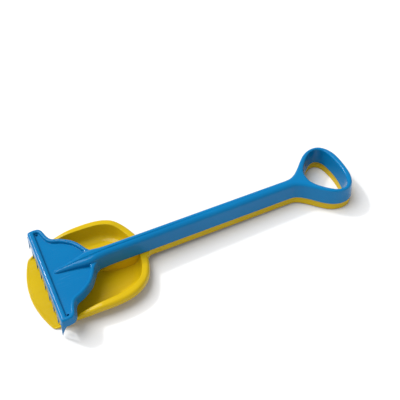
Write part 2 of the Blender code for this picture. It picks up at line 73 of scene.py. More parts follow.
FIT_GAP = 0.3                # clearance between the two stacked channels
LOG = logging.getLogger("beach_set")
Profile = Callable[[float], float]
Colour = tuple[float, float, float]


class Tool(Enum):
    """The two mouldings, by the name of their body."""

    SCOOP = "scoop"
    RAKE = "rake"


class Cut(Enum):
    """How one blank meets another."""

    ADD = "UNION"
    TAKE = "DIFFERENCE"


# ------------------------ node graphs
class Wire:
    """A node's output socket, on which Python's operators add Math nodes."""

    def __init__(self, graph: "Graph", socket: bpy.types.NodeSocket) -> None:
        """Keep the graph that the socket belongs to."""
        self.graph = graph
        self.socket = socket

    def __add__(self, other: Any) -> "Wire":
        """Sum."""
        return self.graph.math("ADD", self, other)

    __radd__ = __add__

    def __sub__(self, other: Any) -> "Wire":
        """Difference."""
        return self.graph.math("SUBTRACT", self, other)

    def __rsub__(self, other: Any) -> "Wire":
        """Difference from a number."""
        return self.graph.math("SUBTRACT", other, self)

    def __mul__(self, other: Any) -> "Wire":
        """Product."""
        return self.graph.math("MULTIPLY", self, other)

    __rmul__ = __mul__

    def __truediv__(self, other: Any) -> "Wire":
        """Quotient."""
        return self.graph.math("DIVIDE", self, other)

    def __pow__(self, other: Any) -> "Wire":
        """Power."""
        return self.graph.math("POWER", self, other)

    def __abs__(self) -> "Wire":
        """Size without sign."""
        return self.graph.math("ABSOLUTE", self)

    def sign(self) -> "Wire":
        """-1, 0 or 1."""
        return self.graph.math("SIGN", self)


class Graph:
    """A node tree under construction, for shaders and for geometry."""

    def __init__(self, tree: bpy.types.NodeTree) -> None:
        """Keep the tree."""
        self.tree = tree

    def node(self, kind: str, settings: dict[str, Any] | None = None,
             inputs: dict[Any, Any] | None = None) -> bpy.types.Node:
        """Add any node.

        Args:
            kind: the node's type name.
            settings: its attributes; "stops" gives a ramp's (place, grey) pairs and
                "curve" a float curve's (x, y) pairs.
            inputs: values or wires by socket name or index.

        Returns:
            The new node.
        """
        made = self.tree.nodes.new(kind)
        for key, value in (settings or {}).items():
            if key == "stops":
                self._stops(made, value)
            elif key == "curve":
                self._curve(made, value)
            else:
                setattr(made, key, value)
        for key, value in (inputs or {}).items():
            self._plug(made.inputs[key], value)
        return made

    def wire(self, kind: str, output: Any = 0, settings: dict[str, Any] | None = None,
             inputs: dict[Any, Any] | None = None) -> Wire:
        """Add a node and return one of its outputs."""
        return Wire(self, self.node(kind, settings, inputs).outputs[output])

    def math(self, operation: str, *values: Any) -> Wire:
        """Add a Math node over up to three values or wires."""
        return self.wire("ShaderNodeMath", 0, {"operation": operation}, dict(enumerate(values)))

    def mix(self, factor: Any, first: Any, second: Any) -> Wire:
        """Blend two colours by a factor."""
        return self.wire("ShaderNodeMix", 2, {"data_type": "RGBA"}, {0: factor, 6: first, 7: second})

    def _plug(self, socket: bpy.types.NodeSocket, value: Any) -> None:
        """Link a wire into a socket, or set its value."""
        if isinstance(value, Wire):
            self.tree.links.new(value.socket, socket)
        else:
            socket.default_value = value

    @staticmethod
    def _stops(node: bpy.types.Node, stops: Sequence[tuple[float, float]]) -> None:
        """Set a colour ramp's grey stops."""
        ramp = node.color_ramp
        while len(ramp.elements) < len(stops):
            ramp.elements.new(1.0)
        for element, (place, grey) in zip(ramp.elements, stops):
            element.position = place
            element.color = (grey, grey, grey, 1.0)

    @staticmethod
    def _curve(node: bpy.types.Node, points: Sequence[tuple[float, float]]) -> None:
        """Set a float curve's points."""
        line = node.mapping.curves[0].points
        while len(line) < len(points):
            line.new(0.5, 0.5)
        for point, (x, y) in zip(line, points):
            point.location = (x, y)
        node.mapping.update()


# ------------------------ finishes
@dataclass(frozen=True)
class MouldedPlastic:
    """Glossy injection-moulded polypropylene with pigment flow and light handling wear."""

    name: str
    slot: str
    body: Colour                 # pigment where the melt ran even
    flow: Colour                 # slightly denser pigment along the flow lines
    rubbed: Colour               # paler plastic on rubbed edges
    gloss: float = 0.14          # roughness of untouched skin
    sheen: float = 0.20          # specular level
    edge_mm: float = 0.55        # how far the rounding of the arrises reaches
    flow_per_m: float = 16.0
    peel_per_m: float = 520.0
    scratch_per_m: float = 1500.0

    def material(self) -> bpy.types.Material:
        """Build the node material.

        Returns:
            The material, which reads Object coordinates.
        """
        mat = bpy.data.materials.new(self.name)
        mat.use_nodes = True
        mat.node_tree.nodes.clear()
        g = Graph(mat.node_tree)
        place = g.wire("ShaderNodeTexCoord", "Object")
        along = g.wire("ShaderNodeMapping", 0, None, {"Vector": place, "Scale": (0.3, 1.0, 1.0)})
        streak = g.wire("ShaderNodeTexNoise", 0, None, {
            "Vector": along, "Scale": self.flow_per_m, "Detail": 4.0, "Roughness": 0.55,
            "Distortion": 0.6})
        cloud = g.wire("ShaderNodeTexNoise", 0, None, {
            "Vector": place, "Scale": 6.0 * self.flow_per_m, "Detail": 3.0, "Roughness": 0.5})
        peel = g.wire("ShaderNodeTexNoise", 0, None, {
            "Vector": place, "Scale": self.peel_per_m, "Detail": 1.0, "Roughness": 0.4})
        hairs = self._hairlines(g, place)
        rounded = g.wire("ShaderNodeBevel", 0, {"samples": 6}, {"Radius": self.edge_mm * MM})
        wear = self._wear(g, rounded, cloud)
        even = g.wire("ShaderNodeMapRange", 0, None, {
            "Value": streak, "From Min": 0.35, "From Max": 0.68, "To Min": 0.0, "To Max": 1.0})
        tint = g.mix(even, (*self.flow, 1.0), (*self.body, 1.0))
        tint = g.mix(wear * 0.55 + hairs * 0.10, tint, (*self.rubbed, 1.0))
        rough = cloud * 0.09 + (self.gloss - 0.045) + wear * 0.20 + hairs * 0.14
        height = peel * 0.6 + hairs * -0.35 + cloud * 0.5
        bump = g.wire("ShaderNodeBump", 0, None, {
            "Strength": 0.35, "Distance": 0.00006, "Height": height, "Normal": rounded})
        skin = g.wire("ShaderNodeBsdfPrincipled", 0, None, {
            "Base Color": tint, "Roughness": rough, "Normal": bump, "IOR": 1.49,
            "Specular IOR Level": self.sheen})
        g.node("ShaderNodeOutputMaterial", None, {"Surface": skin})
        mat.diffuse_color = (*self.body, 1.0)
        return mat

    def _hairlines(self, g: Graph, place: Wire) -> Wire:
        """Fine rubbing scratches in two directions.

        Args:
            g: the graph.
            place: object coordinates.

        Returns:
            1 on a scratch and 0 off it.
        """
        lines = []
        for turn, scale in ((0.35, 1.0), (-0.9, 0.7)):
            laid = g.wire("ShaderNodeMapping", 0, None, {
                "Vector": place, "Rotation": (0.15, 0.1, turn), "Scale": (0.03, 1.0, 1.0)})
            grain = g.wire("ShaderNodeTexNoise", 0, None, {
                "Vector": laid, "Scale": self.scratch_per_m * scale, "Detail": 0.0})
            lines.append(g.wire("ShaderNodeValToRGB", 0, {"stops": ((0.70, 0.0), (0.76, 1.0))},
                                {"Fac": grain}))
        patch = g.wire("ShaderNodeTexNoise", 0, None, {"Vector": place, "Scale": 28.0, "Detail": 1.0})
        where = g.wire("ShaderNodeMapRange", 0, None, {
            "Value": patch, "From Min": 0.48, "From Max": 0.66, "To Min": 0.0, "To Max": 1.0})
        return g.math("MAXIMUM", lines[0], lines[1]) * where

    @staticmethod
    def _wear(g: Graph, rounded: Wire, cloud: Wire) -> Wire:
        """Mask of the rubbed arrises, broken up by the cloud pattern.

        Args:
            g: the graph.
            rounded: the normal with its arrises rounded.
            cloud: a noise between 0 and 1.

        Returns:
            0 on the flats, up to 1 on an arris.
        """
        plain = g.wire("ShaderNodeNewGeometry", "Normal")
        same = Wire(g, g.node("ShaderNodeVectorMath", {"operation": "DOT_PRODUCT"},
                              {0: rounded, 1: plain}).outputs["Value"])
        arris = g.wire("ShaderNodeMapRange", 0, None, {
            "Value": 1.0 - same, "From Min": 0.02, "From Max": 0.16, "To Min": 0.0, "To Max": 1.0})
        worn = g.wire("ShaderNodeMapRange", 0, None, {
            "Value": cloud, "From Min": 0.46, "From Max": 0.62, "To Min": 0.15, "To Max": 1.0})
        return arris * worn


@dataclass(frozen=True)
class PaperSweep:
    """Plain pale paper under the set."""

    name: str = "studio_paper"
    shade: Colour = (0.88, 0.88, 0.88)

    def material(self) -> bpy.types.Material:
        """Build the paper's material."""
        mat = bpy.data.materials.new(self.name)
        mat.use_nodes = True
        mat.node_tree.nodes.clear()
        g = Graph(mat.node_tree)
        place = g.wire("ShaderNodeTexCoord", "Object")
        tooth = g.wire("ShaderNodeTexNoise", 0, None, {"Vector": place, "Scale": 900.0, "Detail": 2.0})
        bump = g.wire("ShaderNodeBump", 0, None, {"Strength": 0.05, "Distance": 0.0001, "Height": tooth})
        skin = g.wire("ShaderNodeBsdfPrincipled", 0, None, {
            "Base Color": (*self.shade, 1.0), "Roughness": 0.75, "Normal": bump})
        g.node("ShaderNodeOutputMaterial", None, {"Surface": skin})
        return mat


# ------------------------ outlines
def ease(x: float, low: float, high: float) -> float:
    """Smooth step from 0 at low to 1 at high."""
    t = min(max((x - low) / (high - low), 0.0), 1.0)
    return t * t * (3 - 2 * t)


def smooth_line(points: Sequence[Any], steps: int, closed: bool = True) -> np.ndarray:
    """Centripetal Catmull-Rom curve through points.

    Args:
        points: the points, of any dimension.
        steps: how many pieces each span gets.
        closed: whether the last point joins the first.

    Returns:
        The curve's points, one a row.
    """
    pts = np.array(points, float)
    n = len(pts)
    out = []
    for i in range(n if closed else n - 1):
        if closed:
            p0, p1, p2, p3 = pts[i - 1], pts[i], pts[(i + 1) % n], pts[(i + 2) % n]
        else:
            p1, p2 = pts[i], pts[i + 1]
            p0 = pts[i - 1] if i > 0 else 2 * p1 - p2
            p3 = pts[i + 2] if i + 2 < n else 2 * p2 - p1
        k1 = math.sqrt(max(float(np.linalg.norm(p1 - p0)), 1e-9))
        k2 = k1 + math.sqrt(max(float(np.linalg.norm(p2 - p1)), 1e-9))
        k3 = k2 + math.sqrt(max(float(np.linalg.norm(p3 - p2)), 1e-9))
        for t in np.linspace(k1, k2, steps, endpoint=False):
            a1 = (k1 - t) / k1 * p0 + t / k1 * p1
            a2 = (k2 - t) / (k2 - k1) * p1 + (t - k1) / (k2 - k1) * p2
            a3 = (k3 - t) / (k3 - k2) * p2 + (t - k2) / (k3 - k2) * p3
            b1 = (k2 - t) / k2 * a1 + t / k2 * a2
            b2 = (k3 - t) / (k3 - k1) * a2 + (t - k1) / (k3 - k1) * a3
            out.append((k2 - t) / (k2 - k1) * b1 + (t - k1) / (k2 - k1) * b2)
    if not closed:
        out.append(pts[-1])
    return np.array(out)


@dataclass
class Outline:
    """Closed anticlockwise outline in plan, in millimetres."""

    points: np.ndarray

    @classmethod
    def mirrored(cls, half: Sequence[Any]) -> "Outline":
        """Close a half outline, on the +Y side, about the X axis."""
        side = np.array(half, float)
        other = [p for p in side[::-1] * [1, -1] if abs(p[1]) > 1e-6]
        return cls(np.concatenate([side, other])).anticlockwise()

    def anticlockwise(self) -> "Outline":
        """The same outline, run anticlockwise."""
        p, q = self.points, np.roll(self.points, -1, 0)
        area = float(np.sum(p[:, 0] * q[:, 1] - q[:, 0] * p[:, 1]))
        return self if area > 0 else Outline(p[::-1])

    def normals(self) -> np.ndarray:
        """Outward unit normals, one a point."""
        tan = np.roll(self.points, -1, 0) - np.roll(self.points, 1, 0)
        tan = tan / np.linalg.norm(tan, axis=1)[:, None]
        return np.stack([tan[:, 1], -tan[:, 0]], 1)

    def grown(self, dist: float) -> "Outline":
        """Move each point outward, or inward where dist is below 0."""
        return Outline(self.points + self.normals() * dist)

    def inset(self, dist: float) -> "Outline":
        """Move inward, dropping the points where the line would fold over itself."""
        loop = self.points
        moved = self.grown(-dist).points
        step = np.roll(loop, -1, 0) - loop
        size = (step * step).sum(1)
        keep: list[np.ndarray] = []
        for q in moved:
            t = np.clip(((q - loop) * step).sum(1) / size, 0.0, 1.0)
            gap = np.linalg.norm(loop + step * t[:, None] - q, axis=1).min()
            if gap > 0.985 * dist - 0.01 and (not keep or np.linalg.norm(q - keep[-1]) > 0.2):
                keep.append(q)
        return Outline(np.array(keep))

    def between(self, low: float, high: float = 999.0) -> "Outline":
        """Cut off square at x = low and x = high."""
        loop = self.points
        for limit, side in ((low, 1.0), (high, -1.0)):
            out = []
            for p, q in zip(loop, np.roll(loop, -1, 0)):
                a, b = side * (p[0] - limit), side * (q[0] - limit)
                if a >= 0:
                    out.append(p)
                if a * b < 0:
                    out.append(p + (q - p) * a / (a - b))
            loop = np.array(out)
        keep = [loop[0]]
        for p in loop[1:]:
            if np.linalg.norm(p - keep[-1]) > 0.2:
                keep.append(p)
        if np.linalg.norm(keep[0] - keep[-1]) < 0.2:
            keep.pop()
        return Outline(np.array(keep))


# ------------------------ blanks
class Bench:
    """Makes closed blanks, joins or cuts them, and hands over finished meshes."""

    def __init__(self, origin_x: float) -> None:
        """Keep where the millimetre origin lies on the frame's X axis, in metres."""
        self.origin_x = origin_x
        self.shelf = bpy.data.collections.new("blanks")
        bpy.context.scene.collection.children.link(self.shelf)

    def loft(self, name: str, rings: Sequence[np.ndarray]) -> bpy.types.Object:
        """Loft equal-count rings and cap both ends.

        Args:
            name: the blank's name.
            rings: rows of (x, y, z) in millimetres.

        Returns:
            The closed blank.
        """
        bm = bmesh.new()
        rows = [[bm.verts.new((self.origin_x + p[0] * MM, p[1] * MM, p[2] * MM)) for p in ring]
                for ring in rings]
        n = len(rows[0])
        for low, high in zip(rows, rows[1:]):
            for i in range(n):
                j = (i + 1) % n
                bm.faces.new((low[i], low[j], high[j], high[i]))
        bm.faces.new(rows[0][::-1])
        bm.faces.new(rows[-1])
        bmesh.ops.remove_doubles(bm, verts=bm.verts, dist=1e-6)
        bmesh.ops.recalc_face_normals(bm, faces=bm.faces)
        mesh = bpy.data.meshes.new(name)
        bm.to_mesh(mesh)
        bm.free()
        obj = bpy.data.objects.new(name, mesh)
        self.shelf.objects.link(obj)
        return obj

    def drafted(self, name: str, outline: Outline, top: Profile, bottom: Profile, radius: Profile,
                draft: float, arc: int = 9, rows: int = 3) -> bpy.types.Object:
        """Solid under an outline, with a rounded top edge and walls that widen downward.

        Args:
            name: the blank's name.
            outline: its plan at the foot of the rounding.
            top, bottom, radius: heights and rounding as functions of x.
            draft: the walls' slope.
            arc: pieces in the rounding.
            rows: pieces down the wall.

        Returns:
            The blank.
        """
        loop, nrm = outline.points, outline.normals()
        rad = np.array([radius(p[0]) for p in loop])
        high = np.array([top(p[0]) for p in loop])
        low = np.array([bottom(p[0]) for p in loop])
        rings = []
        for k in range(arc + 1):
            a = math.pi / 2 * k / arc
            xy = loop - nrm * (rad * (1 - math.sin(a)))[:, None]
            rings.append(np.column_stack([xy, high - rad * (1 - math.cos(a))]))
        for k in range(1, rows + 1):
            drop = (high - rad - low) * k / rows
            xy = loop + nrm * (drop * math.tan(draft))[:, None]
            rings.append(np.column_stack([xy, high - rad - drop]))
        return self.loft(name, rings)

    def plug(self, name: str, outline: Outline, top: Profile, depth: float, radius: Profile,
             draft: float, arc: int = 7, rows: int = 3) -> bpy.types.Object:
        """Plug that cuts a hole whose mouth flares open and whose walls narrow downward."""
        loop, nrm = outline.points, outline.normals()
        high = np.array([top(p[0]) for p in loop])
        rad = np.array([radius(p[0]) for p in loop])
        rings = [np.column_stack([loop + nrm * rad[:, None], high + 4.0])]
        for k in range(arc + 1):
            a = math.pi / 2 * k / arc
            xy = loop + nrm * (rad * (1 - math.sin(a)))[:, None]
            rings.append(np.column_stack([xy, high - rad * (1 - math.cos(a))]))
        for k in range(1, rows + 1):
            drop = (depth - rad) * k / rows
            xy = loop - nrm * (drop * math.tan(draft))[:, None]
            rings.append(np.column_stack([xy, high - rad - drop]))
        return self.loft(name, rings)

    def pin(self, name: str, centre: Sequence[float], low: float, high: float,
            radius: float) -> bpy.types.Object:
        """Upright round pin from one height to another."""
        turn = np.linspace(0, 2 * math.pi, 28, endpoint=False)
        ring = [centre[0] + radius * np.cos(turn), centre[1] + radius * np.sin(turn)]
        return self.loft(name, [np.column_stack([*ring, np.full(28, z)]) for z in (low, high)])

    def combine(self, target: bpy.types.Object, tool: bpy.types.Object, how: Cut) -> bpy.types.Object:
        """Join or cut the target with a tool, which is then removed."""
        mod = target.modifiers.new("meet", "BOOLEAN")
        mod.operation = how.value
        mod.solver = "EXACT"
        mod.object = tool
        self.settle(target)
        if not target.data.polygons:
            raise RuntimeError(f"{tool.name} emptied {target.name}")
        bpy.data.objects.remove(tool, do_unlink=True)
        return target

    def release(self, obj: bpy.types.Object, name: str, tool: Tool, finish: MouldedPlastic,
                material: bpy.types.Material) -> bpy.types.Object:
        """Clean a blank, shade it, and hang it on its body.

        Args:
            obj: the finished blank.
            name: the piece's name.
            tool: the moulding that it belongs to.
            finish: not used.
            material: the finish's material.

        Returns:
            The piece.
        """
        bm = bmesh.new()
        bm.from_mesh(obj.data)
        if any(len(e.link_faces) != 2 for e in bm.edges):
            bmesh.ops.remove_doubles(bm, verts=bm.verts, dist=WELD)
            bmesh.ops.dissolve_degenerate(bm, dist=WELD, edges=bm.edges)
        bmesh.ops.recalc_face_normals(bm, faces=bm.faces)
        loose = sum(1 for e in bm.edges if len(e.link_faces) != 2)
        bm.to_mesh(obj.data)
        bm.free()
        obj.data.materials.clear()
        obj.data.materials.append(material)
        for poly in obj.data.polygons:
            poly.use_smooth = True
            poly.material_index = 0
        obj.data.set_sharp_from_angle(angle=SHARP)
        even = obj.modifiers.new("even", "WEIGHTED_NORMAL")
        even.keep_sharp = True
        self.settle(obj)
        obj.name = obj.data.name = name
        self.shelf.objects.unlink(obj)
        bpy.context.scene.collection.objects.link(obj)
        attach(obj, tool.value)
        LOG.info("%s on %s: %d faces, %d open edges", name, tool.value, len(obj.data.polygons), loose)
        return obj

    @staticmethod
    def settle(obj: bpy.types.Object) -> None:
        """Replace an object's mesh by its evaluated mesh and drop its modifiers."""
        deps = bpy.context.evaluated_depsgraph_get()
        mesh = bpy.data.meshes.new_from_object(obj.evaluated_get(deps))
        obj.modifiers.clear()
        old = obj.data
        obj.data = mesh
        bpy.data.meshes.remove(old)

    def clear(self) -> None:
        """Remove whatever blanks are left."""
        for obj in list(self.shelf.objects):
            bpy.data.objects.remove(obj, do_unlink=True)
        bpy.data.collections.remove(self.shelf)


# ------------------------ shared handle
@dataclass
class Nose:
    """How a handle rises out of the head in front of it."""

    start: float                 # x of the tip
    full: float                  # x where it has the shaft's size
    base: float                  # height of the surface that it rises from
    shape: tuple[tuple[float, float, float], ...]    # (share of length, of width, of height)
    low: float                   # height of its walls' foot inside the head
    low_until: float             # x where the walls start down to the channel's edge
    low_from: float              # x where they have reached it

    def shares(self, x: float) -> tuple[float, float]:
        """Shares of the shaft's width and height that the nose has at x."""
        line = smooth_line(self.shape, 8, closed=False)
        t = (x - self.start) / (self.full - self.start)
        return float(np.interp(t, line[:, 0], line[:, 1])), float(np.interp(t, line[:, 0], line[:, 2]))


@dataclass
class ChannelHandle:
    """Drafted channel shaft that opens into a D-shaped grip."""

    nose: Nose
    lift: float = 0.0            # height above the scoop's handle
    end_x: float = 497.5
    shaft_half: float = 8.4
    shaft_depth: float = 27.4
    shaft_round: float = 7.2
    drop: float = 0.0238
    edge_z: float = 0.25
    wall: float = 1.5
    draft: float = math.radians(8.0)
    neck_x: float = 68.3         # where the rake's head meets the channel
    neck_swell: float = 0.34     # how much wider the channel is there
    neck_spread: float = 15.0
    grip_len: float = 103.0
    grip_half: float = 48.5
    ring_round: float = 2.5      # outer rounding of the ring's sides
    bar_round: float = 4.2       # outer rounding of the grip's end bar
    cad_round: float = 2.2       # rounding from which the end bar's reach is reckoned
    mouth_round: float = 2.0     # least rounding of the hand hole's mouth
    hole_len: float = 60.0
    hole_half: float = 43.5
    grip_bar: float = 9.5
    swell: tuple[tuple[float, float], ...] = (
        (0.09, 0.02), (0.18, 0.12), (0.29, 0.335), (0.40, 0.60), (0.51, 0.83), (0.62, 0.965),
        (0.725, 1.0), (0.825, 0.945), (0.90, 0.80), (0.95, 0.60), (0.985, 0.32))
    eye: tuple[tuple[float, float], ...] = (
        (0.0, 0.0), (0.015, 0.20), (0.085, 0.39), (0.20, 0.585), (0.34, 0.78), (0.48, 0.925),
        (0.61, 0.993), (0.74, 0.985), (0.86, 0.875), (0.935, 0.69), (0.982, 0.38), (1.0, 0.0))

    def crown(self, x: float) -> float:
        """Height of the shaft's crown at x, behind the nose."""
        return self.edge_z + self.shaft_depth + (self.end_x - x) * self.drop + self.lift

    def top(self, x: float) -> float:
        """Height of the crest at x, nose included."""
        nose = self.nose
        if x >= nose.full:
            return self.crown(x)
        return nose.base + (self.crown(nose.full) - nose.base) * nose.shares(x)[1]

    def half(self, x: float) -> float:
        """Half width under the crown at x, ahead of the grip."""
        away = (x - self.neck_x) / self.neck_spread
        return self.shaft_half * (1 + self.neck_swell * math.exp(-away * away)) * self.nose.shares(x)[0]

    def rounding(self, x: float) -> float:
        """Crown radius at x."""
        x0 = self.end_x - self.grip_len
        radius = self.shaft_round + (self.ring_round - self.shaft_round) * ease(x, x0 - 8.0, x0 + 60.0)
        radius += (self.bar_round - self.ring_round) * ease(x, self.end_x - 26.0, self.end_x - 8.0)
        return min(radius, 0.9 * self.half(x))

    def mouth(self, x: float) -> float:
        """Rounding of the hand hole's mouth at x."""
        x0 = self.end_x - self.grip_len
        if x < x0 + 60.0:
            flare = ease(x, x0 + 60.0, x0 + 44.0)
        else:
            flare = ease(x, self.end_x - 26.0, self.end_x - 12.0)
        return self.mouth_round * (1.0 + 0.6 * flare)

    def foot(self, x: float) -> float:
        """Height of the walls' lower edge at x."""
        t = ease(x, self.nose.low_until, self.nose.low_from)
        return self.nose.low + (self.crown(x) - self.shaft_depth - self.nose.low) * t

    def plan(self, start: float, steps: int = 9) -> Outline:
        """Plan of nose, shaft and grip from x = start."""
        x0 = self.end_x - self.grip_len
        span = self.grip_half - self.shaft_half
        side = [(x0 - 24.0, self.shaft_half), (x0 - 10.0, self.shaft_half), (x0, self.shaft_half)]
        side += [(x0 + u * self.grip_len, self.shaft_half + v * span) for u, v in self.swell]
        ring = side + [(self.end_x, 0.0)] + [(x, -y) for x, y in side[::-1]]
        curve = smooth_line(ring, steps, closed=False)
        half = [tuple(p) for p in curve[: len(curve) // 2 + 1]]
        half[-1] = (self.end_x, 0.0)
        near = np.arange(start, self.nose.full + 45.0, 1.6)
        far = np.linspace(self.nose.full + 48.0, x0 - 24.0, 24)[:-1]
        return Outline.mirrored([(x, self.half(x)) for x in (*near, *far)] + half)

    def eye_plan(self, steps: int = 7) -> Outline:
        """Plan of the hand hole."""
        x0 = self.end_x - self.grip_bar - self.hole_len
        side = [(x0 + u * self.hole_len, v * self.hole_half) for u, v in self.eye]
        ring = side + [(x, -y) for x, y in side[-2:0:-1]]
        return Outline(smooth_line(ring, steps)).anticlockwise()

    def outer(self, bench: Bench) -> bpy.types.Object:
        """Solid outside shape of nose, shaft and grip, with its hand hole."""
        body = bench.drafted("handle", self.plan(self.nose.start), self.top, self.foot,
                             self.rounding, self.draft)
        hole = bench.plug("hand_hole", self.eye_plan(), self.crown, self.shaft_depth + 3.0,
                          self.mouth, self.draft)
        return bench.combine(body, hole, Cut.TAKE)

    def cavity(self, bench: Bench, start: float, low: Profile) -> bpy.types.Object:
        """Core that hollows the handle out from below, from x = start to the grip end."""
        inset = self.wall / math.cos(self.draft)
        loop = self.plan(start - 4.0).grown(-inset).between(start)

        def rounding(x: float) -> float:
            """Crown radius of the core, small at its blunt front end."""
            widest = min(self.rounding(x) - self.wall, 0.8 * self.half(x) - 1.2)
            return max(min(widest, 0.5 + 0.4 * (x - start)), 0.5)

        core = bench.drafted("handle_core", loop, lambda x: self.top(x) - self.wall, low, rounding,
                             self.draft, arc=6)
        post = bench.plug("hand_hole_wall", self.eye_plan().grown(inset),
                          lambda x: self.crown(x) - self.wall, self.shaft_depth + 4.0, lambda x: 0.6,
                          self.draft, arc=3)
        return bench.combine(core, post, Cut.TAKE)


# ------------------------ rake
@dataclass
class RakeHead:
    """Dished panel with a raised bar in front and a rim round its shoulders."""

    top_z: float = 43.5
    depth: float = 14.5
    bar_round: float = 4.2       # front edge of the bar
    edge_round: float = 2.9      # outer edge of the rim
    dish_round: float = 2.8      # inner edge of bar and rim
    wall: float = 1.7
    bar_half: float = 81.5
    ear: float = 21.5
    shoulder_x: float = 72.0
    recess: float = 4.5
    bar_top: float = 9.0
    rim_top: float = 6.0
    web_x: float = 62.0          # where the skirt starts down to the channel's edge
    socket: float = 1.7          # blind socket in each front corner of the panel
    socket_depth: float = 3.6
    socket_wall: float = 1.3
    draft: float = math.radians(8.0)

    @property
    def panel_z(self) -> float:
        """Height of the dished panel."""
        return self.top_z - self.recess

    @property
    def neck_x(self) -> float:
        """Where the shaft reaches its full size."""
        return 0.79 * self.shoulder_x + self.ear - 0.9

    def plan(self, steps: int = 8) -> Outline:
        """Plan of the whole head."""
        e, b, s = self.ear, self.bar_half, self.shoulder_x
        c = 4.5
        corner = [(0.0, b - c), (0.35, b - 0.5 * c), (1.6, b - 0.12 * c), (c, b)]
        rear = [(0.55 * e, b - 0.1), (0.80 * e, b - 1.4), (0.96 * e, b - 5.0), (1.06 * e, b - 11.0),
                (1.16 * e, b - 18.5), (1.36 * e, b - 25.5), (0.27 * s + e, 0.62 * b),
                (0.37 * s + e, 0.565 * b), (0.47 * s + e, 0.50 * b), (0.55 * s + e, 0.42 * b),
                (0.62 * s + e, 0.32 * b), (0.685 * s + e, 0.215 * b), (0.77 * s + e, 0.135 * b)]
        curve = smooth_line(corner + rear, steps, closed=False)
        front = [(0.0, y) for y in np.linspace(0.0, b - c, 24)[:-1]]
        tail = [(0.84 * s + e, 0.10 * b), (0.84 * s + e, 0.0)]
        return Outline.mirrored(front + [tuple(p) for p in curve] + tail)

    def dished(self, bench: Bench, edge: Profile) -> bpy.types.Object:
        """Solid head with its panel sunk below the rim.

        Args:
            bench: the workbench.
            edge: height of the channel's open edge as a function of x.

        Returns:
            The head.
        """
        loop = self.plan()
        neck = self.ear + 0.80 * self.shoulder_x

        def foot(x: float) -> float:
            """Edge of the skirt, which runs down into the channel's wall at the neck."""
            skirt = self.top_z - self.depth
            return skirt + (edge(x) - skirt) * ease(x, self.web_x, neck)

        def rounding(x: float) -> float:
            """Top rounding: fuller along the bar."""
            return self.edge_round + (self.bar_round - self.edge_round) * (1 - ease(x, 1.0, 9.0))

        head = bench.drafted("head", loop, lambda x: self.top_z, foot, rounding, self.draft, arc=10, rows=6)
        tail = 0.545 * self.shoulder_x + self.ear
        dish = loop.inset(self.rim_top).between(self.bar_top, tail + 4.0)
        dent = bench.plug("dish", dish, lambda x: self.top_z, self.recess, lambda x: self.dish_round,
                          math.radians(10), arc=9, rows=2)
        return bench.combine(head, dent, Cut.TAKE)

    def hollow(self, bench: Bench, head: bpy.types.Object) -> None:
        """Hollow the head from below and sink the sockets in its front corners."""
        loop = self.plan()
        under = loop.inset(self.wall - 0.9).between(-1.0, self.neck_x + 0.9)
        low = bench.drafted("under", under, lambda x: self.panel_z - self.wall,
                            lambda x: self.panel_z - self.wall - self.depth, lambda x: 0.8, self.draft,
                            arc=4, rows=1)
        bench.combine(head, low, Cut.TAKE)
        tail = 0.545 * self.shoulder_x + self.ear
        groove = bench.drafted("groove", loop.inset(self.wall + 0.3).between(-1.0, tail + 6.0),
                               lambda x: self.top_z - self.wall,
                               lambda x: self.top_z - self.wall - self.recess - 3.0, lambda x: 0.5,
                               self.draft, arc=3, rows=1)
        keep = loop.inset(self.rim_top - self.wall + 0.1).between(self.bar_top - self.wall - 0.6)
        core = bench.drafted("dish_back", keep, lambda x: self.top_z + 1.0,
                             lambda x: self.top_z - self.recess - 11.0, lambda x: 0.5, 0.0, arc=3, rows=1)
        bench.combine(groove, core, Cut.TAKE)
        bench.combine(head, groove, Cut.TAKE)
        bottom = self.panel_z - self.socket_depth
        for side in (1, -1):
            spot = (self.bar_top + 3.2, side * (self.bar_half - self.rim_top - 2.8))
            boss = bench.pin("boss", spot, bottom - self.socket_wall, self.panel_z - 0.5 * self.wall,
                             self.socket + self.socket_wall)
            bench.combine(head, boss, Cut.ADD)
            bench.combine(head, bench.pin("socket", spot, bottom, self.panel_z + 8.0, self.socket), Cut.TAKE)


